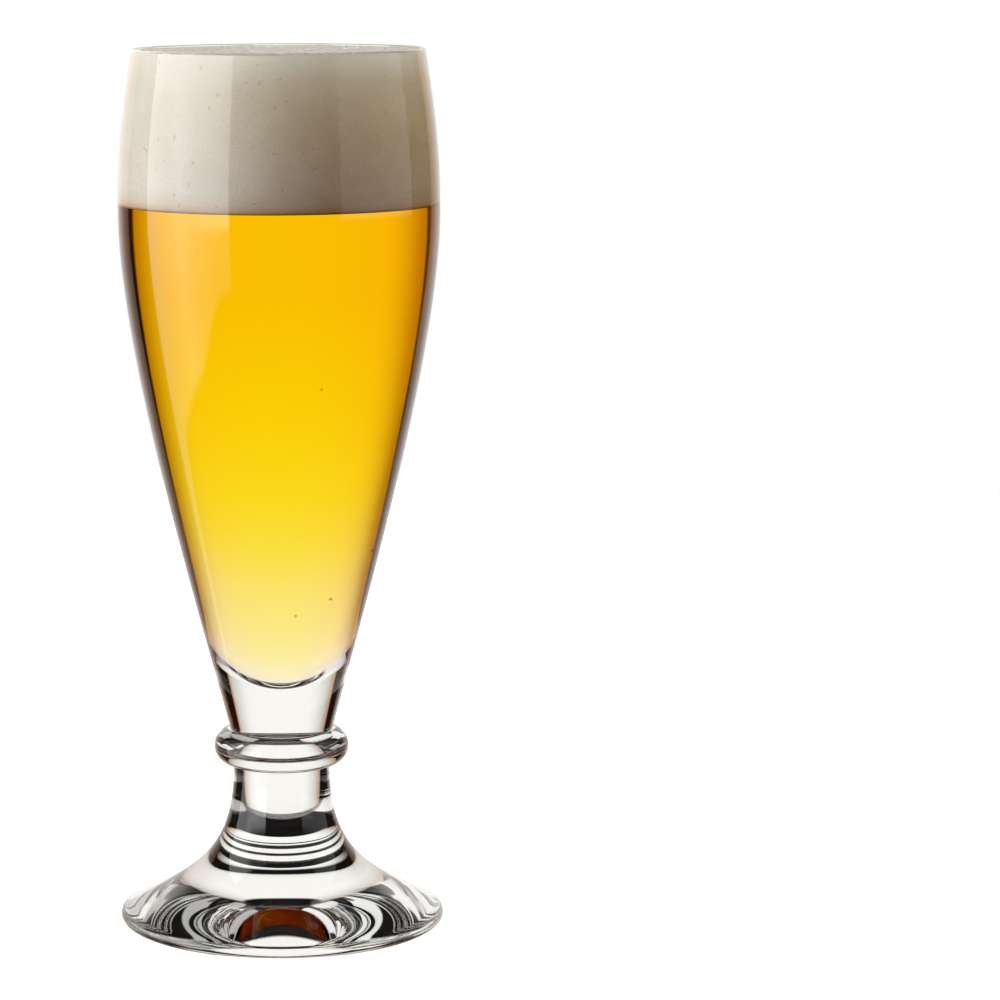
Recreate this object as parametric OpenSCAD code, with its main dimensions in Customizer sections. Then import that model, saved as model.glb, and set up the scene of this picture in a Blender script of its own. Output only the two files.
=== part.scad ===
// Pilsner glass: a tall tapering cup with a thick base, on a short stem with a
// rounded collar ring and a flared foot that is hollowed underneath.
// The pieces are fused along flat seams, each lying face to face with the next.

/* [Overall] */
// Height of the glass, from the table to the rim
glass_h = 205; // [190:1:230]
// Height of the middle of the collar ring above the table
collar_z = 41.8; // [38:0.1:50]

/* [Cup] */
// Outer diameter of the rim
rim_d = 67.8; // [62:0.1:71]
// Outer diameter of the cup where it is widest
belly_d = 74.5; // [72:0.1:80]
// Distance of the widest place below the rim
belly_drop = 37.3; // [28:0.1:50]
// Wall of the cup at the rim
rim_wall = 1.1; // [0.9:0.05:1.8]
// Wall of the cup where it is widest
belly_wall = 1.3; // [1:0.05:2.2]
// Wall of the cup where the thick base begins
heel_wall = 2.2; // [1.6:0.1:3.2]
// Solid glass between the cup's seam and its inner floor
base_t = 5; // [3:0.1:8]

/* [Stem] */
// Diameter of the solid stem where it stands on the collar ring
shank_d = 24.2; // [22:0.1:27]
// Diameter of the neck under the collar ring
neck_d = 22.6; // [20:0.1:26]

/* [Collar ring] */
// Outer diameter of the collar ring
ring_d = 31.7; // [30:0.1:36]
// Height of the collar ring
ring_h = 8.3; // [6:0.1:10]
// Flat land of the collar ring beside the thicker stem
ring_land = 0.4; // [0.2:0.1:1]

/* [Foot] */
// Outer diameter of the foot
foot_d = 76.4; // [70:0.1:84]
// Rounding of the foot's outer edge
edge_r = 1.6; // [1.2:0.1:2]
// Width of the flat ring that the glass stands on
contact_w = 1.6; // [1:0.1:4]
// Height of the hollow under the foot at its middle
dome_h = 3.1; // [2:0.1:6]

/* [Hidden] */

// Steps of a long curve, of a quarter of a rounding and of a full turn
curve_steps = 36;
round_steps = 8;
turn_steps = 144;

// Angles of the surface, from upright at the stem and rim, from level at the foot
shank_lean = 14.2;
rim_lean = 7.85;
edge_slope = 24;
hollow_slope = 4.4;

// How far along its span each end of a curve keeps its direction
cup_low_share = 0.198;
cup_high_share = 0.275;
mouth_low_share = 0.474;
mouth_high_share = 0.277;
flare_low_share = 0.84;
flare_high_share = 0.53;
hollow_side_share = 0.6;
hollow_flat_share = 0.42;
floor_side_share = 0.45;
floor_flat_share = 0.5;

// Where a curve is cut by a seam or a wall changes, as a share of its parameter
cup_seam_share = 0.08;
heel_share = 0.37;
flare_seam_share = 0.72;

clear_glass = [0.86, 0.91, 0.92, 0.55];

rim_r = rim_d / 2;
belly_r = belly_d / 2;
shank_r = shank_d / 2;
neck_r = neck_d / 2;
ring_r = ring_d / 2;
foot_r = foot_d / 2;

// Collar ring between its two seams
ring_top = collar_z + ring_h / 2;
ring_bottom = collar_z - ring_h / 2;
ring_flat_r = max(shank_r, neck_r) + ring_land;
ring_bulge = ring_r - ring_flat_r;
ring_arc_r = (ring_bulge * ring_bulge + ring_h * ring_h / 4) / (2 * ring_bulge);
ring_arc_x = ring_r - ring_arc_r;
ring_arc_angle = atan2(ring_h / 2, ring_flat_r - ring_arc_x);

// Outside of the cup, from the ring to the widest place and on to the lip
lip_r = rim_wall / 2;
belly_z = glass_h - belly_drop;
rim_end_z = glass_h - lip_r * (1 - sin(rim_lean));
cup_span = belly_z - ring_top;
mouth_span = rim_end_z - belly_z;
cup_low = cup_low_share * cup_span;
mouth_high = mouth_high_share * mouth_span;
cup_curve = [
    [shank_r, ring_top],
    [shank_r + cup_low * sin(shank_lean), ring_top + cup_low * cos(shank_lean)],
    [belly_r, belly_z - cup_high_share * cup_span],
    [belly_r, belly_z]
];
mouth_curve = [
    [belly_r, belly_z],
    [belly_r, belly_z + mouth_low_share * mouth_span],
    [rim_r + mouth_high * sin(rim_lean), rim_end_z - mouth_high * cos(rim_lean)],
    [rim_r, rim_end_z]
];
lip_x = rim_r - lip_r * cos(rim_lean);
lip_z = rim_end_z - lip_r * sin(rim_lean);
cup_seam = cubic(cup_curve, cup_seam_share);
floor_z = cup_seam[1] + base_t;

// Rounded bottom of the inside, from the wall to the middle of the floor
heel = inside(cup_curve, heel_share, heel_wall);
heel_way = cubic_way(cup_curve, heel_share);
heel_drop = heel[1] - floor_z;
floor_curve = [
    heel,
    heel - floor_side_share * heel_drop / heel_way[1] * heel_way,
    [floor_flat_share * heel[0], floor_z],
    [0, floor_z]
];

// Flare from the rounded edge of the foot up to the ring
edge_x = foot_r - edge_r;
flare_start = [edge_x + edge_r * sin(edge_slope), edge_r + edge_r * cos(edge_slope)];
flare_width = flare_start[0] - neck_r;
flare_height = ring_bottom - flare_start[1];
flare_curve = [
    flare_start,
    flare_start + flare_low_share * flare_width * [-cos(edge_slope), sin(edge_slope)],
    [neck_r, ring_bottom - flare_high_share * flare_height],
    [neck_r, ring_bottom]
];
flare_seam = cubic(flare_curve, flare_seam_share);

// Hollow under the foot, a shallow curve from the middle to the contact ring
hollow_r = edge_x - contact_w;
hollow_side = hollow_side_share * hollow_r;
hollow_curve = [
    [0, dome_h],
    [hollow_flat_share * hollow_r, dome_h],
    [hollow_r - hollow_side * cos(hollow_slope), hollow_side * sin(hollow_slope)],
    [hollow_r, 0]
];

// Point of a cubic curve, and the direction that it runs in there
function cubic(p, t) =
    pow(1 - t, 3) * p[0] + 3 * t * pow(1 - t, 2) * p[1] + 3 * t * t * (1 - t) * p[2] + pow(t, 3) * p[3];
function cubic_way(p, t) =
    3 * (pow(1 - t, 2) * (p[1] - p[0]) + 2 * t * (1 - t) * (p[2] - p[1]) + t * t * (p[3] - p[2]));

// Point at a wall's depth behind a curve that is the outside of the glass
function inside(p, t, wall) =
    let (way = cubic_way(p, t))
    cubic(p, t) - wall / norm(way) * [way[1], -way[0]];

// Points of a curve or an arc, both ends included
function stretch(p, start, end) =
    [for (i = [0:curve_steps]) cubic(p, start + (end - start) * i / curve_steps)];
function inner_stretch(p, start, end, start_wall, end_wall) =
    [for (i = [0:curve_steps])
        let (share = i / curve_steps)
        inside(p, start + (end - start) * share, start_wall + (end_wall - start_wall) * share)];
function arc(x, z, r, start, end, steps) =
    [for (i = [0:steps])
        let (angle = start + (end - start) * i / steps)
        [x + r * cos(angle), z + r * sin(angle)]];

// The points of a list without its first one
function rest(list) = [for (i = [1:len(list) - 1]) list[i]];

module turned(points) {
    rotate_extrude($fn = turn_steps)
        polygon(points);
}

// Foot: contact ring, rounded edge and the lower part of the flare
module foot() {
    color(clear_glass)
        turned(concat(
            stretch(hollow_curve, 0, 1),
            arc(edge_x, edge_r, edge_r, -90, 0, round_steps),
            rest(arc(edge_x, edge_r, edge_r, 0, 90 - edge_slope, round_steps)),
            rest(stretch(flare_curve, 0, flare_seam_share)),
            [[0, flare_seam[1]]]
        ));
}

// Lower stem: the upper part of the flare and the neck under the ring
module lower_stem() {
    color(clear_glass)
        turned(concat(
            [[0, flare_seam[1]]],
            stretch(flare_curve, flare_seam_share, 1),
            [[0, ring_bottom]]
        ));
}

// Collar ring: a thick disc with a round edge
module collar_ring() {
    color(clear_glass)
        turned(concat(
            [[0, ring_bottom]],
            arc(ring_arc_x, collar_z, ring_arc_r, -ring_arc_angle, ring_arc_angle, 4 * round_steps),
            [[0, ring_top]]
        ));
}

// Upper stem: solid glass between the ring and the cup
module upper_stem() {
    color(clear_glass)
        turned(concat(
            [[0, ring_top]],
            stretch(cup_curve, 0, cup_seam_share),
            [[0, cup_seam[1]]]
        ));
}

// Bowl: the blown cup, with its thick base, thin wall and rounded lip
module bowl() {
    color(clear_glass)
        turned(concat(
            [[0, cup_seam[1]]],
            stretch(cup_curve, cup_seam_share, 1),
            rest(stretch(mouth_curve, 0, 1)),
            rest(arc(lip_x, lip_z, lip_r, rim_lean, 90, round_steps)),
            rest(arc(lip_x, lip_z, lip_r, 90, 180 + rim_lean, round_steps)),
            rest(inner_stretch(mouth_curve, 1, 0, rim_wall, belly_wall)),
            rest(inner_stretch(cup_curve, 1, heel_share, belly_wall, heel_wall)),
            rest(stretch(floor_curve, 0, 1))
        ));
}

foot();
lower_stem();
collar_ring();
upper_stem();
bowl();
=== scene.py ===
import random
from math import atan2, cos, degrees, pi, radians, sin, sqrt, tau

import bmesh
import bpy
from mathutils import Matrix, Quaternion, Vector, noise


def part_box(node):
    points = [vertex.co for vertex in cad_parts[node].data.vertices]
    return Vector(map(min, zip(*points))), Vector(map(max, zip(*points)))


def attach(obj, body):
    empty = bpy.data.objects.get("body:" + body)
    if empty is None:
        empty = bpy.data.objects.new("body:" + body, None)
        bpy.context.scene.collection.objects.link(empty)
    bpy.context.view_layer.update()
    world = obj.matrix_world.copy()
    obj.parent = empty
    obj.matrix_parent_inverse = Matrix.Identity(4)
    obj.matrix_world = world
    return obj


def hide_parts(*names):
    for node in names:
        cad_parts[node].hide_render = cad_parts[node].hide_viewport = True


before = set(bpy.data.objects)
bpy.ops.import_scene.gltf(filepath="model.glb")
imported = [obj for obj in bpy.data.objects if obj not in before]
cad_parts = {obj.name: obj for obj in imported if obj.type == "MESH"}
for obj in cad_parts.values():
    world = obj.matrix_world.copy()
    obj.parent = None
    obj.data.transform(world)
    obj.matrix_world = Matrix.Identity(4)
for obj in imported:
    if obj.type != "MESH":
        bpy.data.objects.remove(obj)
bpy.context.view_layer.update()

scene = bpy.context.scene
mm = 0.001
samePoint = 0.001 * mm      # points this close count as one
sameHeight = 0.005 * mm


# Node trees

class Wire:  # one output of a node, with the maths that the materials use
    def __init__(self, tree, out):
        self.tree = tree
        self.out = out

    def __getitem__(self, name):
        return Wire(self.tree, self.out.node.outputs[name])

    def maths(self, operation, first, second=0.0):
        return self.tree.add("ShaderNodeMath", {"operation": operation}, {0: first, 1: second})

    def __add__(self, other):
        return self.maths("ADD", self, other)

    def __radd__(self, other):
        return self.maths("ADD", other, self)

    def __sub__(self, other):
        return self.maths("SUBTRACT", self, other)

    def __rsub__(self, other):
        return self.maths("SUBTRACT", other, self)

    def __mul__(self, other):
        return self.maths("MULTIPLY", self, other)

    def __rmul__(self, other):
        return self.maths("MULTIPLY", other, self)

    def __neg__(self):
        return self.maths("MULTIPLY", self, -1.0)

    def __abs__(self):
        return self.maths("ABSOLUTE", self)


class Tree:  # a material's or a world's nodes
    def __init__(self, owner):
        owner.use_nodes = True
        self.tree = owner.node_tree
        self.tree.nodes.clear()

    def add(self, kind, settings, sockets, output=0):
        node = self.tree.nodes.new(kind)
        for name, value in settings.items():
            if name == "stops":
                self.setStops(node.color_ramp, value)
            else:
                setattr(node, name, value)
        for name, value in sockets.items():
            if isinstance(value, Wire):
                self.tree.links.new(value.out, node.inputs[name])
            else:
                node.inputs[name].default_value = value
        return Wire(self, node.outputs[output]) if node.outputs else node

    def setStops(self, ramp, stops):
        while len(ramp.elements) < len(stops):
            ramp.elements.new(1.0)
        for element, (place, colour) in zip(ramp.elements, stops):
            element.position = place
            element.color = (*colour, 1.0)

    def rise(self, value, start, end):  # 0 up to start, 1 from end on, smooth between
        settings = {"interpolation_type": "SMOOTHSTEP"}
        sockets = {"Value": value, "From Min": start, "From Max": end}
        return self.add("ShaderNodeMapRange", settings, sockets)

    def band(self, value, low, high, soft):  # 1 between low and high
        falls = self.rise(value, high - soft, high + soft)
        return self.rise(value, low - soft, low + soft) * (1.0 - falls)

    def mix(self, factor, first, second):
        return self.add("ShaderNodeMix", {"data_type": "RGBA"}, {0: factor, 6: first, 7: second}, 2)

    def tint(self, first, second):
        return self.add("ShaderNodeVectorMath", {"operation": "MULTIPLY"}, {0: first, 1: second})

    def noise(self, place, scale, detail):
        return self.add("ShaderNodeTexNoise", {}, {"Vector": place, "Scale": scale, "Detail": detail})

    def cells(self, place, scale):
        return self.add("ShaderNodeTexVoronoi", {}, {"Vector": place, "Scale": scale}, "Distance")

    def bump(self, height, depth):
        return self.add("ShaderNodeBump", {}, {"Height": height, "Distance": depth, "Strength": 1.0})


def newMaterial(name, sockets, volume=None, build=None):
    material = bpy.data.materials.new(name)
    tree = Tree(material)
    linked = build(tree) if build else {}
    shader = tree.add("ShaderNodeBsdfPrincipled", {}, {**sockets, **linked})
    ends = {"Surface": shader}
    if volume:
        ends["Volume"] = tree.add("ShaderNodeVolumeAbsorption", {}, volume)
    tree.add("ShaderNodeOutputMaterial", {}, ends)
    return material


# Outlines: curves of (radius, height) points, as the solids have them

def cubic(curve, t):
    a, b, c, d = curve
    return (1 - t) ** 3 * a + 3 * t * (1 - t) ** 2 * b + 3 * t * t * (1 - t) * c + t ** 3 * d


def cubicWay(curve, t):
    a, b, c, d = curve
    return 3 * ((1 - t) ** 2 * (b - a) + 2 * t * (1 - t) * (c - b) + t * t * (d - c))


def inside(curve, t, wall):
    way = cubicWay(curve, t).normalized()
    return cubic(curve, t) - wall * Vector((way.y, -way.x))


def stretch(curve, start, end, walls=(0.0, 0.0), steps=48):
    points = []
    for i in range(steps + 1):
        share = i / steps
        wall = walls[0] + (walls[1] - walls[0]) * share
        points.append(inside(curve, start + (end - start) * share, wall))
    return points


def arc(x, z, r, start, end, steps=16):
    turns = [start + (end - start) * i / steps for i in range(steps + 1)]
    return [Vector((x + r * cos(radians(turn)), z + r * sin(radians(turn)))) for turn in turns]


def joined(*parts):  # one outline, without the points that two stretches share
    points = []
    for part in parts:
        for point in part:
            if not points or (point - points[-1]).length > samePoint:
                points.append(point)
    return points


# Pieces

def turned(outline, steps=160):  # an outline turned about the axis of the glass
    mesh = bmesh.new()
    verts = [mesh.verts.new((point.x, 0.0, point.y)) for point in outline]
    edges = [mesh.edges.new(pair) for pair in zip(verts, verts[1:])]
    bmesh.ops.spin(
        mesh, geom=verts + edges, axis=(0, 0, 1), cent=(0, 0, 0), angle=tau, steps=steps, use_merge=True)
    bmesh.ops.remove_doubles(mesh, verts=mesh.verts, dist=samePoint / 2)
    bmesh.ops.recalc_face_normals(mesh, faces=mesh.faces)
    return mesh


def cutLevel(mesh, height, **options):
    everything = mesh.verts[:] + mesh.edges[:] + mesh.faces[:]
    cut = bmesh.ops.bisect_plane(
        mesh, geom=everything, plane_co=(0, 0, height), plane_no=(0, 0, 1), **options)
    return [item for item in cut["geom_cut"] if isinstance(item, bmesh.types.BMEdge)]


def cutAndClose(mesh, height, **side):  # takes off what is on one side, and closes the rest
    bmesh.ops.edgeloop_fill(mesh, edges=cutLevel(mesh, height, **side))
    bmesh.ops.recalc_face_normals(mesh, faces=mesh.faces)


def finish(mesh, name, materials, replaced=None):
    for face in mesh.faces:
        face.smooth = True
    for edge in mesh.edges:
        if len({face.material_index for face in edge.link_faces}) > 1:
            edge.smooth = False
    data = bpy.data.meshes.new(name)
    mesh.to_mesh(data)
    mesh.free()
    piece = bpy.data.objects.new(name, data)
    scene.collection.objects.link(piece)
    for material in materials:
        data.materials.append(material)
    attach(piece, "root")
    if replaced:
        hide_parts(replaced)
    return piece


def markSeams(mesh, heights):  # the flat faces that meet the next piece of glass
    for face in mesh.faces:
        for height in heights:
            if all(abs(vert.co.z - height) < sameHeight for vert in face.verts):
                face.material_index = 1


# Clear glass

glassFinish = {
    "tint": (0.985, 0.99, 0.988, 1.0),
    "shade": (0.96, 0.972, 0.968, 1.0),
    "ior": 1.52,
    "beerIor": 1.34,
    "wetIor": 1.134,            # glass against beer
    "mottleScale": 14.0,
    "mottleRange": (0.35, 0.75),
    "waveScale": 26.0,
    "waveDepth": 0.02 * mm,
}


def glassNodes(tree):
    place = tree.add("ShaderNodeTexCoord", {}, {}, "Object")
    mottle = tree.noise(place, glassFinish["mottleScale"], 3.0)
    wave = tree.noise(place, glassFinish["waveScale"], 1.0)
    mottled = tree.rise(mottle, *glassFinish["mottleRange"])
    colour = tree.mix(mottled, glassFinish["tint"], glassFinish["shade"])
    return {"Base Color": colour, "Normal": tree.bump(wave, glassFinish["waveDepth"])}


glassSockets = {"Transmission Weight": 1.0, "Roughness": 0.0, "IOR": glassFinish["ior"]}
clearGlass = newMaterial("clearGlass", glassSockets, build=glassNodes)
wetGlass = newMaterial("wetGlass", {**glassSockets, "IOR": glassFinish["wetIor"]}, build=glassNodes)
fusedSeam = newMaterial("fusedSeam", {**glassSockets, "Alpha": 0.0}, build=glassNodes)
print("glass materials made")


# Sizes read from the solids, in metres

def nodeSize(name):  # radius, lowest and highest point of a round node
    low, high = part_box(name)
    return (high[0] - low[0]) / 2, low[2], high[2]


bellyR, cupSeam, rimTop = nodeSize("bowl")
_, ringTop, _ = nodeSize("upper_stem")
ringR, ringBottom, _ = nodeSize("collar_ring")
footR, tableZ, footSeam = nodeSize("foot")


# Foot and lower stem

footShape = {
    "edgeR": 1.6 * mm,
    "edgeSlope": 24.0,
    "contactWidth": 1.6 * mm,
    "hollow": 3.1 * mm,
    "hollowSlope": 4.4,
    "sideShare": 0.6,
    "flatShare": 0.42,
    "neckR": 11.3 * mm,
    "lowShare": 0.84,
    "highShare": 0.53,
    "seamShare": 0.72,
}

edgeR = footShape["edgeR"]
edgeX = footR - edgeR
slope = radians(footShape["edgeSlope"])
neckR = footShape["neckR"]
flareStart = Vector((edgeX + edgeR * sin(slope), edgeR + edgeR * cos(slope)))
flareWidth = flareStart.x - neckR
flareCurve = [
    flareStart,
    flareStart + footShape["lowShare"] * flareWidth * Vector((-cos(slope), sin(slope))),
    Vector((neckR, ringBottom - footShape["highShare"] * (ringBottom - flareStart.y))),
    Vector((neckR, ringBottom)),
]
hollowR = edgeX - footShape["contactWidth"]
hollowSide = footShape["sideShare"] * hollowR
hollowSlope = radians(footShape["hollowSlope"])
hollowCurve = [
    Vector((0.0, footShape["hollow"])),
    Vector((footShape["flatShare"] * hollowR, footShape["hollow"])),
    Vector((hollowR - hollowSide * cos(hollowSlope), hollowSide * sin(hollowSlope))),
    Vector((hollowR, 0.0)),
]

footMesh = turned(joined(
    stretch(hollowCurve, 0, 1),
    arc(edgeX, edgeR, edgeR, -90, 0, 12),
    arc(edgeX, edgeR, edgeR, 0, 90 - footShape["edgeSlope"], 10),
    stretch(flareCurve, 0, footShape["seamShare"]),
    [Vector((0.0, footSeam))],
))
markSeams(footMesh, [footSeam])
finish(footMesh, "glassFoot", [clearGlass, fusedSeam], "foot")

lowerMesh = turned(joined(
    [Vector((0.0, footSeam))],
    stretch(flareCurve, footShape["seamShare"], 1),
    [Vector((0.0, ringBottom))],
))
markSeams(lowerMesh, [footSeam, ringBottom])
finish(lowerMesh, "lowerStem", [clearGlass, fusedSeam], "lower_stem")
print("foot and lower stem made")


# Collar ring

ringShape = {"land": 0.4 * mm, "shankR": 12.1 * mm}

ringFlatR = ringShape["shankR"] + ringShape["land"]
ringHalf = (ringTop - ringBottom) / 2
bulge = ringR - ringFlatR
ringArcR = (bulge ** 2 + ringHalf ** 2) / (2 * bulge)
ringArcX = ringR - ringArcR
ringAngle = degrees(atan2(ringHalf, ringFlatR - ringArcX))

ringMesh = turned(joined(
    [Vector((0.0, ringBottom)), Vector((neckR, ringBottom))],
    arc(ringArcX, ringBottom + ringHalf, ringArcR, -ringAngle, ringAngle, 40),
    [Vector((ringShape["shankR"], ringTop)), Vector((0.0, ringTop))],
))
for face in ringMesh.faces:  # the ring is wider than its neighbours, so only part of a flat face is a seam
    centre = face.calc_center_median()
    level = abs(abs(centre.z - ringBottom - ringHalf) - ringHalf) < sameHeight
    reach = ringShape["shankR"] if centre.z > ringBottom + ringHalf else neckR
    if level and centre.xy.length < reach:
        face.material_index = 1
finish(ringMesh, "collarRing", [clearGlass, fusedSeam], "collar_ring")
print("collar ring made")


# Cup and upper stem

cupShape = {
    "rimR": 33.9 * mm,
    "bellyDrop": 37.3 * mm,     # widest place, below the rim
    "rimWall": 1.1 * mm,
    "bellyWall": 1.3 * mm,
    "heelWall": 2.2 * mm,
    "baseT": 5.0 * mm,
    "shankLean": 14.2,
    "rimLean": 7.85,
    # how far the ends of the curves keep their direction, below the widest place, above it and at the floor
    "lowShares": (0.198, 0.275),
    "mouthShares": (0.474, 0.277),
    "floorShares": (0.45, 0.5),
    "seamShare": 0.08,
    "heelShare": 0.37,
}

shankR = ringShape["shankR"]
rimLean = radians(cupShape["rimLean"])
shankLean = radians(cupShape["shankLean"])
lipR = cupShape["rimWall"] / 2
rimR = cupShape["rimR"]
rimEndZ = rimTop - lipR * (1 - sin(rimLean))
bellyZ = rimTop - cupShape["bellyDrop"]
cupSpan = bellyZ - ringTop
mouthSpan = rimEndZ - bellyZ
cupLow, cupHigh = (share * cupSpan for share in cupShape["lowShares"])
mouthLow, mouthHigh = (share * mouthSpan for share in cupShape["mouthShares"])
cupCurve = [
    Vector((shankR, ringTop)),
    Vector((shankR + cupLow * sin(shankLean), ringTop + cupLow * cos(shankLean))),
    Vector((bellyR, bellyZ - cupHigh)),
    Vector((bellyR, bellyZ)),
]
mouthCurve = [
    Vector((bellyR, bellyZ)),
    Vector((bellyR, bellyZ + mouthLow)),
    Vector((rimR + mouthHigh * sin(rimLean), rimEndZ - mouthHigh * cos(rimLean))),
    Vector((rimR, rimEndZ)),
]
lipX = rimR - lipR * cos(rimLean)
lipZ = rimEndZ - lipR * sin(rimLean)
floorZ = cupSeam + cupShape["baseT"]


def innerOutline(gap):  # the inside of the cup, from the lip down to the middle of its floor
    rimWall, bellyWall, heelWall = (cupShape[key] + gap for key in ("rimWall", "bellyWall", "heelWall"))
    floor = floorZ + gap
    heel = inside(cupCurve, cupShape["heelShare"], heelWall)
    way = cubicWay(cupCurve, cupShape["heelShare"])
    sideShare, flatShare = cupShape["floorShares"]
    floorCurve = [
        heel,
        heel - way * (sideShare * (heel.y - floor) / way.y),
        Vector((flatShare * heel.x, floor)),
        Vector((0.0, floor)),
    ]
    return joined(
        stretch(mouthCurve, 1, 0, (rimWall, bellyWall)),
        stretch(cupCurve, 1, cupShape["heelShare"], (bellyWall, heelWall), 64),
        stretch(floorCurve, 0, 1, steps=40),
    )


upperMesh = turned(joined(
    [Vector((0.0, ringTop))],
    stretch(cupCurve, 0, cupShape["seamShare"], steps=12),
    [Vector((0.0, cupSeam))],
))
markSeams(upperMesh, [ringTop, cupSeam])
finish(upperMesh, "upperStem", [clearGlass, fusedSeam], "upper_stem")

drink = {
    "beerTop": 169.4 * mm,
    "foamEdge": 204.3 * mm,     # where the foam meets the wall, just under the rim
    "foamCrown": 204.68 * mm,
    "film": 0.02 * mm,          # between the glass and what is in it
    "floorZone": 10.0 * mm,     # above the inner floor, where faces that look up are part of it
    "underFloor": 0.1 * mm,
}

bowlMesh = turned(joined(
    [Vector((0.0, cupSeam))],
    stretch(cupCurve, cupShape["seamShare"], 1, steps=80),
    stretch(mouthCurve, 0, 1),
    arc(lipX, lipZ, lipR, cupShape["rimLean"], 90, 8),
    arc(lipX, lipZ, lipR, 90, 180 + cupShape["rimLean"], 8),
    innerOutline(0.0),
))
for height in (drink["beerTop"], drink["foamEdge"]):
    cutLevel(bowlMesh, height, dist=samePoint)
markSeams(bowlMesh, [cupSeam])
for face in bowlMesh.faces:  # the wet inside, up to the foam's edge
    centre = face.calc_center_median()
    onWall = face.normal.xy.dot(centre.xy) < 0
    onFloor = face.normal.z > 0.5 and centre.z < floorZ + drink["floorZone"]
    if (onWall or onFloor) and floorZ - drink["underFloor"] < centre.z < drink["foamEdge"]:
        face.material_index = 2
finish(bowlMesh, "glassBowl", [clearGlass, fusedSeam, wetGlass], "bowl")
print("bowl and upper stem made")


# Beer

beerFinish = {
    "bottom": floorZ,
    "top": drink["beerTop"],
    # painted light: the beer is coloured paler towards the bottom, where it is thinner and lit from below
    "stops": [
        (0.0, (1.0, 0.92, 1.0)),
        (0.11, (1.0, 0.88, 1.0)),
        (0.21, (1.0, 0.84, 0.88)),
        (0.31, (1.0, 0.798, 0.36)),
        (0.41, (1.0, 0.763, 0.125)),
        (0.51, (1.0, 0.723, 0.05)),
        (0.62, (1.0, 0.684, 0.025)),
        (0.82, (1.0, 0.601, 0.01)),
        (1.0, (1.0, 0.603, 0.01)),
    ],
    "absorbed": (0.985, 0.95, 0.0),
    "density": 46.0,
}


def beerNodes(tree):
    place = tree.add("ShaderNodeTexCoord", {}, {}, "Object")
    height = tree.add("ShaderNodeSeparateXYZ", {}, {"Vector": place}, "Z")
    share = (height - beerFinish["bottom"]) * (1 / (beerFinish["top"] - beerFinish["bottom"]))
    # painted light, paler towards the bottom
    colour = tree.add("ShaderNodeValToRGB", {"stops": beerFinish["stops"]}, {"Fac": share})
    return {"Base Color": colour}


beerVolume = {"Color": (*beerFinish["absorbed"], 1.0), "Density": beerFinish["density"]}
beerSockets = {"Transmission Weight": 1.0, "Roughness": 0.0, "IOR": 1.0}    # the wet glass does the bending
beerLiquid = newMaterial("beerLiquid", beerSockets, volume=beerVolume, build=beerNodes)

beerMesh = turned(joined([Vector((0.0, rimEndZ))], innerOutline(drink["film"])))
cutAndClose(beerMesh, drink["beerTop"], clear_outer=True)
finish(beerMesh, "beerBody", [beerLiquid])
print("beer poured")


# Foam

foamFinish = {
    "light": (0.92, 0.90, 0.86, 1.0),
    "dark": (0.82, 0.79, 0.73, 1.0),
    "darkRange": (0.3, 0.8),
    "cloudShare": 0.7,
    "cellShare": 0.5,
    "glowAcross": (-25.0 * mm, -5.0 * mm),     # painted light, weaker on the side of the bright box
    "glowLeast": 0.48,
    # painted brown shade, darkest where the foam meets the beer and fading out up to the height below
    "wet": [
        (0.0, (0.26, 0.1, 0.045)),
        (0.05, (0.5, 0.29, 0.18)),
        (0.13, (0.83, 0.65, 0.51)),
        (0.4, (0.94, 0.88, 0.82)),
        (1.0, (1.0, 1.0, 1.0)),
    ],
    "wetHeight": 5.0 * mm,
    # painted light: amber and faint at the beer, whiter and stronger up to the crown
    "glow": [
        (0.0, (0.03, 0.008, 0.0)),
        (0.18, (0.05, 0.016, 0.0)),
        (0.43, (0.078, 0.04, 0.006)),
        (0.69, (0.13, 0.088, 0.042)),
        (0.82, (0.163, 0.126, 0.075)),
        (0.945, (0.236, 0.22, 0.172)),
        (1.0, (0.27, 0.26, 0.21)),
    ],
    "speck": (0.7, 0.58, 0.32, 1.0),
    "speckScale": 620.0,
    "speckRange": (0.778, 0.808),
    "speckShare": 0.6,
    "cellScale": 2400.0,
    "cellDepth": 0.05 * mm,
    "cloudScale": 90.0,
}


def foamNodes(tree):
    place = tree.add("ShaderNodeTexCoord", {}, {}, "Object")
    axes = tree.add("ShaderNodeSeparateXYZ", {}, {"Vector": place})
    height = axes["Z"] - drink["beerTop"]
    cells = tree.cells(place, foamFinish["cellScale"])
    cloud = tree.noise(place, foamFinish["cloudScale"], 4.0)
    specks = tree.noise(place, foamFinish["speckScale"], 0.0)
    darker = cloud * foamFinish["cloudShare"] + cells * foamFinish["cellShare"]
    darker = tree.rise(darker, *foamFinish["darkRange"])
    specked = tree.rise(specks, *foamFinish["speckRange"]) * foamFinish["speckShare"]
    colour = tree.mix(darker, foamFinish["light"], foamFinish["dark"])
    colour = tree.mix(specked, colour, foamFinish["speck"])
    # painted brown shade towards the beer, on the colour and on the glow
    beerLineShadeAt = height * (1 / foamFinish["wetHeight"])
    wet = tree.add("ShaderNodeValToRGB", {"stops": foamFinish["wet"]}, {"Fac": beerLineShadeAt})
    # painted light, stronger higher up and weaker on the side of the bright box
    paintedGlowAt = height * (1 / (drink["foamCrown"] - drink["beerTop"]))
    glow = tree.add("ShaderNodeValToRGB", {"stops": foamFinish["glow"]}, {"Fac": paintedGlowAt})
    across = tree.rise(axes["X"], *foamFinish["glowAcross"])
    glow = tree.mix(across, tree.mix(foamFinish["glowLeast"], (0.0, 0.0, 0.0, 1.0), glow), glow)
    return {
        "Base Color": tree.tint(colour, wet),
        "Emission Color": tree.tint(glow, wet),
        "Normal": tree.bump(cells, foamFinish["cellDepth"]),
    }


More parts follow.
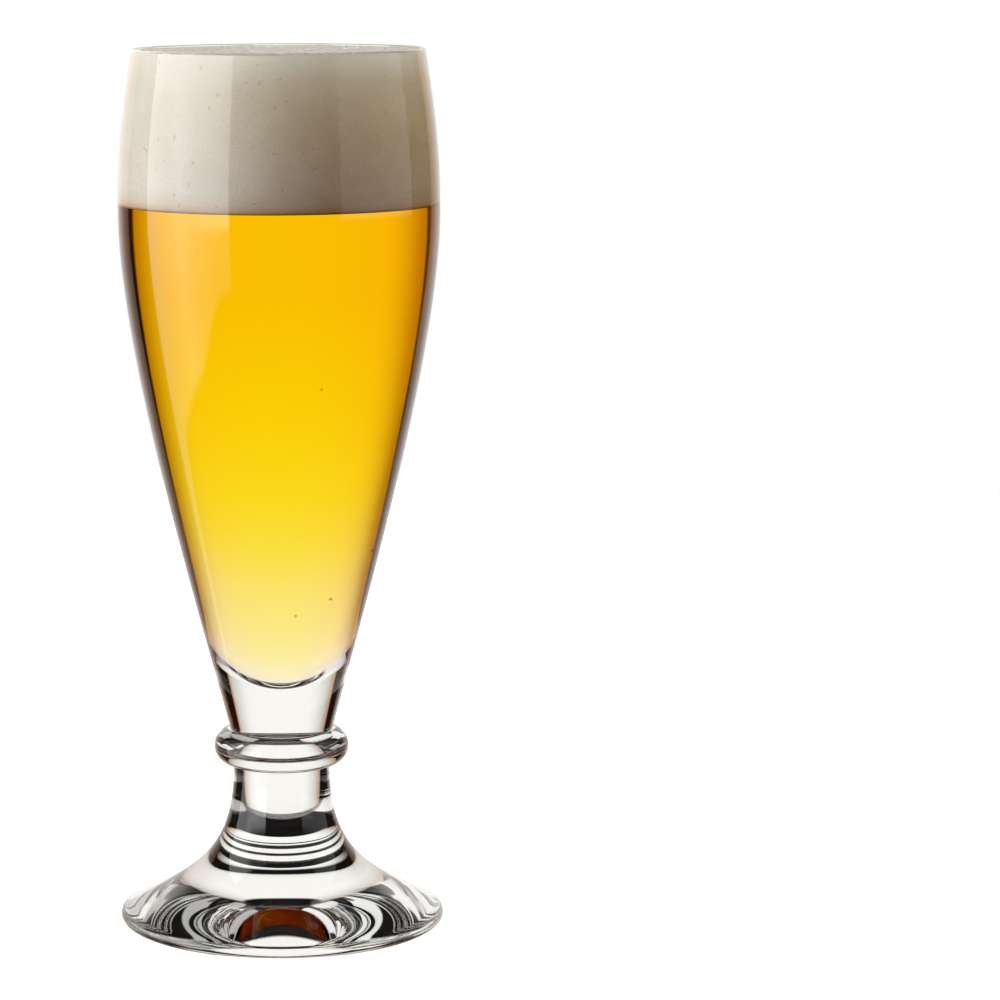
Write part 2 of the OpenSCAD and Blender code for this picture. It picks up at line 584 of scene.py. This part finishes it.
# Painted light: the foam glows, standing in for light that falls in from above and behind and spreads
# inside it, and for amber light from the beer lower down
foamSockets = {"Roughness": 0.6, "IOR": 1.33, "Specular IOR Level": 0.2, "Emission Strength": 1.0}
foamSkin = newMaterial("foamSkin", foamSockets, build=foamNodes)

foamTop = {
    "rings": 26,
    "flatEnd": 2.0 * mm,            # in from the wall
    "shoulder": [(1.2, 0.0), (0.5, 0.06), (0.15, 0.2)],     # in from the wall and down from the crown, mm
    # painted shade: the top is a darker copy of the foam, darker still in its cell hollows, with a weaker
    # painted glow
    "colour": (0.8, 0.79, 0.765, 1.0),
    "hollow": (0.62, 0.6, 0.56, 1.0),
    "glow": (0.11, 0.105, 0.092, 1.0),
    "cellScale": 520.0,
    "cellRange": (0.1, 0.6),
    "cellDepth": 0.1 * mm,
    "waves": [(0.11 / mm, 0.2 * mm), (0.36 / mm, 0.1 * mm)],        # how fine, and how high
    "highest": 204.93 * mm,
}


def topNodes(tree):
    place = tree.add("ShaderNodeTexCoord", {}, {}, "Object")
    cells = tree.cells(place, foamTop["cellScale"])
    # painted shade in the cell hollows
    colour = tree.mix(tree.rise(cells, *foamTop["cellRange"]), foamTop["hollow"], foamTop["colour"])
    return {"Base Color": colour, "Normal": tree.bump(cells, foamTop["cellDepth"])}


topSockets = {**foamSockets, "Emission Color": foamTop["glow"]}
foamTopShaded = newMaterial("foamTopShaded", topSockets, build=topNodes)

wallLine = innerOutline(drink["film"])
wallTop = wallLine[0]
crown = drink["foamCrown"]
flatR = wallTop.x - foamTop["flatEnd"]
foamMesh = turned(joined(
    [Vector((flatR * i / foamTop["rings"], crown)) for i in range(foamTop["rings"] + 1)],
    [Vector((wallTop.x - inward * mm, crown - down * mm)) for inward, down in foamTop["shoulder"]],
    wallLine,
))
for vert in foamMesh.verts:
    if abs(vert.co.z - crown) < 2 * sameHeight:
        rise = sum(high * noise.noise(vert.co * fine) for fine, high in foamTop["waves"])
        vert.co.z = min(vert.co.z + rise, foamTop["highest"])
# the top faces take the painted-shade copy of the foam
for face in foamMesh.faces:
    if all(vert.co.z > wallTop.y - 2 * sameHeight for vert in face.verts):
        face.material_index = 1
cutAndClose(foamMesh, drink["beerTop"] + drink["film"], clear_inner=True)
finish(foamMesh, "foamHead", [foamSkin, foamTopShaded])
print("foam head made")


# Bubbles: large ones that stand in the top of the foam, and a few small ones on the wall in the beer

bubbles = {
    "count": 46,
    "seed": 7,
    "radius": (0.8 * mm, 2.6 * mm),
    "smaller": 1.5,             # the higher, the more small ones there are
    "reach": 0.95,              # of the foam's radius at the top
    "highest": 204.98 * mm,
    "sunk": 0.12 * mm,
    "film": (0.93, 0.92, 0.9, 1.0),
    # painted light: the film glows faintly so that the bubbles stay pale
    "filmGlow": (0.2, 0.195, 0.18, 1.0),
    "facing": 0.35,
    "outlineRange": (0.25, 0.95),
    "outlineShare": 0.6,
    "middleShare": 0.06,
    "beerLight": (1.0, 0.96, 0.88, 1.0),
    "beerShade": (0.94, 0.9, 0.8, 1.0),
    "mottleScale": 900.0,
    "beerR": 0.32 * mm,
    "beerPlaces": [(129.9, 17.4), (76.1, 10.9), (79.7, 36.3), (89.9, 69.4), (78.0, 82.1)],  # height, turn
}


def filmNodes(tree):  # a film that is seen at its outline
    facing = tree.add("ShaderNodeLayerWeight", {}, {"Blend": bubbles["facing"]}, "Facing")
    outline = tree.rise(facing, *bubbles["outlineRange"])
    return {"Alpha": outline * bubbles["outlineShare"] + bubbles["middleShare"]}


def beerBubbleNodes(tree):
    place = tree.add("ShaderNodeTexCoord", {}, {}, "Object")
    mottle = tree.noise(place, bubbles["mottleScale"], 2.0)
    return {"Base Color": tree.mix(mottle, bubbles["beerLight"], bubbles["beerShade"])}


bubbleFilm = newMaterial("bubbleFilm", {
    "Base Color": bubbles["film"],
    "Roughness": 0.12,
    "IOR": 1.33,
    "Emission Color": bubbles["filmGlow"],
    "Emission Strength": 1.0,
}, build=filmNodes)
airSockets = {"Transmission Weight": 1.0, "Roughness": 0.0, "IOR": 1 / glassFinish["beerIor"]}
beerBubble = newMaterial("beerBubble", airSockets, build=beerBubbleNodes)


def addBubble(mesh, centre, radius, steps):
    ball = bmesh.ops.create_icosphere(mesh, subdivisions=steps, radius=radius)
    bmesh.ops.translate(mesh, verts=ball["verts"], vec=centre)


topMesh = bmesh.new()
draw = random.Random(bubbles["seed"])
leastR, greatestR = bubbles["radius"]
for _ in range(bubbles["count"]):
    radius = leastR + (greatestR - leastR) * draw.random() ** bubbles["smaller"]
    reach = (wallTop.x * bubbles["reach"] - radius) * sqrt(draw.random())
    around = tau * draw.random()
    height = bubbles["highest"] - radius - bubbles["sunk"] * draw.random()
    addBubble(topMesh, (reach * cos(around), reach * sin(around), height), radius, 2)
finish(topMesh, "topBubbles", [bubbleFilm])

cupWall = innerOutline(0.0)
beerBubbleMesh = bmesh.new()
for height, turnAt in bubbles["beerPlaces"]:
    near = min(cupWall, key=lambda point: abs(point.y - height * mm))
    out = near.x - bubbles["beerR"] - 2 * drink["film"]
    place = (out * sin(radians(turnAt)), -out * cos(radians(turnAt)), height * mm)
    addBubble(beerBubbleMesh, place, bubbles["beerR"], 3)
finish(beerBubbleMesh, "beerBubbles", [beerBubble])
print("bubbles made")


# Studio: light from all round, as the reflections in the glass show it

# Angles in degrees: a turn of 0 is towards the camera and 180 behind the glass, a lift of 90 is straight up
studio = {
    # white panel behind the glass, dimmer and warmer towards its edges, and wider on the left
    "panelEdge": (136.8, 139.4),
    "edgeShift": -2.0,          # on the left
    "panelFade": (134.5, 160.0),
    "fadeShift": 1.7,
    "edgeLight": 0.55,
    "warm": (1.0, 0.6, 0.36, 1.0),
    "warmFrom": (113.0, 135.0),
    "warmFade": (134.0, 152.0),
    "warmWide": (134.0, 180.0),
    "warmShare": 0.65,
    "warmLeft": 0.6,            # more of it on the left
    "warmClear": (136.0, 146.0),
    "beerPanel": 1.13,
    "frontGlow": (68.0, 76.0),  # through the beer, as seen from behind
    "dark": 0.008,
    # through clear glass
    "levels": (-43.0, 47.0),    # lowest and highest light
    "levelSoft": 2.5,
    "clearTint": (1.035, 1.015, 0.97),
    "leftSideFoot": (-21.0, -16.0),
    "rightSideFoot": (-8.0, -3.0),
    "leftSide": 0.95,
    "rightSide": 0.5,
    "sideSoft": 3.0,
    "frontLight": 0.03,
    "frontEnd": (15.0, 26.0),
    # off the outside of the glass: a tall soft box on the left, whose foot steps down twice to the back
    "leftBox": (35.5, 107.5),
    "leftFoot": -18.0,
    "leftFootSoft": 0.7,
    "frontStep": (40.0, 68.0),
    "frontStepDown": 6.0,
    "backStep": (97.0, 105.0),
    "backStepDown": 12.0,
    "leftLight": 0.55,
    "leftRise": (-30.0, 5.0),   # brighter higher up
    "leftLow": 0.6,
    "leftMore": 0.9,
    "nearPart": (38.0, 80.0),   # bright part at its front edge
    "nearFoot": (-8.0, -4.0),
    "nearLight": 1.95,
    "nearFall": (-6.0, 2.0),
    "nearLoss": 0.6,
    "middlePart": (36.0, 66.0),
    "middleLight": 0.85,
    "stripe": (68.0, 81.0),     # brightest at its middle
    "stripeSoft": 7.0,
    "stripeLight": 0.7,
    # and a smaller one on the right
    "rightBox": (44.5, 108.5),
    "rightFoot": -4.2,
    "rightFootSoft": 0.5,
    "rightLight": 0.72,
    "boxSoft": 0.6,
    "boxFall": (14.0, 24.0),    # both are dimmer high up, in their front part
    "boxFrontPart": (60.0, 90.0),
    "boxLoss": 0.85,
    "boxTop": (55.0, 61.0),
    "panelTop": (23.0, 36.0),
    # onto the foam and the floor
    "ceiling": (50.0, 62.0),
    "foamBox": (45.0, 100.0),
    "foamBoxSoft": 10.0,
    "foamWarmPart": (38.0, 58.0),
    "foamRightBox": (68.0, 108.0),
    "foamRightSoft": 8.0,
    "foamLeft": 4.2,
    "foamRight": 1.68,
    "foamBack": 0.3,
    "foamWarm": (1.0, 0.83, 0.6, 1.0),
    "foamPale": (1.0, 0.99, 0.95, 1.0),
    "floorGlow": 0.8,
    "floorR": 0.7,
    "floorGap": 0.02 * mm,
    # which rays have been through the beer: more than four faces passed, and no reflection on the way
    "beerFaces": 4.5,
}


def studioNodes():
    world = bpy.data.worlds.new("studioLight")
    scene.world = world
    world.cycles.sampling_method = "NONE"
    tree = Tree(world)
    way = tree.add("ShaderNodeTexCoord", {}, {}, "Generated")
    axes = tree.add("ShaderNodeSeparateXYZ", {}, {"Vector": way})
    across, along, up = axes["X"], axes["Y"], axes["Z"]
    turn = across.maths("ARCTAN2", abs(across), -along) * (180 / pi)
    lift = up.maths("ARCSINE", up) * (180 / pi)
    onLeft = tree.rise(-across, -0.05, 0.05)

    edgeLight = studio["edgeLight"]
    panel = tree.rise(turn - onLeft * studio["fadeShift"], *studio["panelFade"])
    panel = panel * (1.0 - edgeLight) + edgeLight
    panel = panel * tree.rise(turn - onLeft * studio["edgeShift"], *studio["panelEdge"])
    warmFrom = tree.rise(turn, *studio["warmFrom"])
    warmNear = (1.0 - tree.rise(turn, *studio["warmFade"])) * studio["warmShare"]
    warmWide = (1.0 - tree.rise(turn, *studio["warmWide"])) * (1.0 - studio["warmShare"])
    warmWide = warmWide * (onLeft * studio["warmLeft"] + 1.0)
    warmEdge = warmFrom * (warmNear + warmWide)
    warmClear = warmFrom * (1.0 - tree.rise(turn, *studio["warmClear"]))

    leftSide = tree.rise(lift, *studio["leftSideFoot"]) * studio["leftSide"]
    leftSide = leftSide * tree.band(turn, *studio["leftBox"], studio["sideSoft"])
    rightSide = tree.rise(lift, *studio["rightSideFoot"]) * studio["rightSide"]
    rightSide = rightSide * tree.band(turn, *studio["rightBox"], studio["sideSoft"])
    side = onLeft * leftSide + (1.0 - onLeft) * rightSide
    front = (1.0 - tree.rise(turn, *studio["frontEnd"])) * studio["frontLight"]
    levels = tree.band(lift, *studio["levels"], studio["levelSoft"])
    clear = (panel + side + front) * levels
    amber = (panel * studio["beerPanel"] + 1.0 - tree.rise(turn, *studio["frontGlow"])) * levels

    foot = studio["leftFoot"] - tree.rise(turn, *studio["frontStep"]) * studio["frontStepDown"]
    foot = foot - tree.rise(turn, *studio["backStep"]) * studio["backStepDown"]
    footSoft = studio["leftFootSoft"]
    left = tree.rise(lift - foot, -footSoft, footSoft)
    left = left * tree.band(turn, *studio["leftBox"], studio["boxSoft"])
    near = (1.0 - tree.rise(turn, *studio["nearPart"])) * tree.rise(lift, *studio["nearFoot"])
    near = near * (studio["nearLight"] - tree.rise(lift, *studio["nearFall"]) * studio["nearLoss"])
    middle = tree.rise(turn, *studio["middlePart"]) * studio["middleLight"]
    stripe = tree.band(turn, *studio["stripe"], studio["stripeSoft"]) * studio["stripeLight"]
    left = left * (middle + stripe + near + studio["leftLight"])
    left = left * (tree.rise(lift, *studio["leftRise"]) * studio["leftMore"] + studio["leftLow"])
    rightFoot, footSoft = studio["rightFoot"], studio["rightFootSoft"]
    right = tree.rise(lift, rightFoot - footSoft, rightFoot + footSoft) * studio["rightLight"]
    right = right * tree.band(turn, *studio["rightBox"], studio["boxSoft"])
    dimmer = tree.rise(lift, *studio["boxFall"]) * (1.0 - tree.rise(turn, *studio["boxFrontPart"]))
    boxes = (left * onLeft + right * (1.0 - onLeft)) * (1.0 - dimmer * studio["boxLoss"])
    shine = panel * (1.0 - tree.rise(lift, *studio["panelTop"]))
    shine = shine + boxes * (1.0 - tree.rise(lift, *studio["boxTop"]))

    softLeft = tree.band(turn, *studio["foamBox"], studio["foamBoxSoft"]) * studio["foamLeft"]
    softRight = tree.band(turn, *studio["foamRightBox"], studio["foamRightSoft"]) * studio["foamRight"]
    softBack = tree.rise(turn, *studio["panelEdge"]) * studio["foamBack"]
    soft = softLeft * onLeft + softRight * (1.0 - onLeft) + softBack
    soft = soft * (1.0 - tree.rise(lift, *studio["ceiling"]))

    path = tree.add("ShaderNodeLightPath", {}, {})
    isCamera, isThrough = path["Is Camera Ray"], path["Is Transmission Ray"]
    isSoft = path.maths("GREATER_THAN", path["Diffuse Depth"], 0.5)
    isBeer = path.maths("GREATER_THAN", path["Transmission Depth"], studio["beerFaces"])
    isBeer = isBeer * path.maths("LESS_THAN", path["Glossy Depth"], 0.5)
    isClear = isThrough * (1.0 - isBeer)
    light = shine * (1.0 - isThrough) + clear * isClear + amber * isThrough * isBeer + studio["dark"]
    light = light * (1.0 - isSoft) + soft * isSoft
    light = light * (1.0 - isCamera) + isCamera

    isDirect = (1.0 - isCamera) * (1.0 - isSoft)
    isWarm = (warmEdge * (1.0 - isClear) + warmClear * isClear) * isDirect
    colour = tree.mix(isWarm, (1.0, 1.0, 1.0, 1.0), studio["warm"])
    colour = tree.mix(isClear * isDirect, colour, tree.tint(colour, studio["clearTint"]))
    foamWarm = 1.0 - onLeft * tree.rise(turn, *studio["foamWarmPart"])
    foamColour = tree.mix(foamWarm, studio["foamPale"], studio["foamWarm"])
    colour = tree.mix(isSoft * (1.0 - isCamera), colour, foamColour)
    background = tree.add("ShaderNodeBackground", {}, {"Color": colour, "Strength": light})
    tree.add("ShaderNodeOutputWorld", {}, {"Surface": background})


studioNodes()

floorPaint = newMaterial("floorPaint", {
    "Base Color": (0.93, 0.93, 0.93, 1.0),
    "Roughness": 0.9,
    "Specular IOR Level": 0.0,
    "Emission Color": (1.0, 1.0, 1.0, 1.0),
    "Emission Strength": studio["floorGlow"],
})
floorMesh = bmesh.new()
bmesh.ops.create_circle(floorMesh, cap_ends=True, segments=128, radius=studio["floorR"])
bmesh.ops.translate(floorMesh, verts=floorMesh.verts, vec=(0, 0, tableZ - studio["floorGap"]))
floorData = bpy.data.meshes.new("floor")
floorMesh.to_mesh(floorData)
floorMesh.free()
floorData.materials.append(floorPaint)
floor = bpy.data.objects.new("floor", floorData)
floor.visible_transmission = False      # the glass shows the panel's light instead, also from below
floor.visible_glossy = False
scene.collection.objects.link(floor)
print("studio set up")


# Camera, where the photograph was taken from

cameraPlace = {
    "distance": 859.6 * mm,
    "height": 233.5 * mm,
    "aimBelowMiddle": 2.36 * mm,
    "lens": 134.05,
    "shiftX": 0.2196,       # the photograph has the glass left of its middle
    "roll": -0.27,
}

cameraData = bpy.data.cameras.new("camera")
cameraData.lens = cameraPlace["lens"]
cameraData.sensor_width = 36.0
cameraData.shift_x = cameraPlace["shiftX"]
cameraData.clip_start = 0.01
cameraData.dof.use_dof = False
camera = bpy.data.objects.new("camera", cameraData)
scene.collection.objects.link(camera)
camera.location = (0.0, -cameraPlace["distance"], cameraPlace["height"])
aim = Vector((0.0, 0.0, (rimTop + tableZ) / 2 - cameraPlace["aimBelowMiddle"]))
turnTo = (aim - camera.location).to_track_quat("-Z", "Y")
camera.rotation_mode = "QUATERNION"
camera.rotation_quaternion = turnTo @ Quaternion((0, 0, 1), radians(cameraPlace["roll"]))
scene.camera = camera

scene.view_settings.view_transform = "Standard"
scene.view_settings.look = "None"
scene.cycles.max_bounces = 40
scene.cycles.transmission_bounces = 40
scene.cycles.glossy_bounces = 24
scene.cycles.transparent_max_bounces = 40
scene.cycles.diffuse_bounces = 4
print("camera placed")
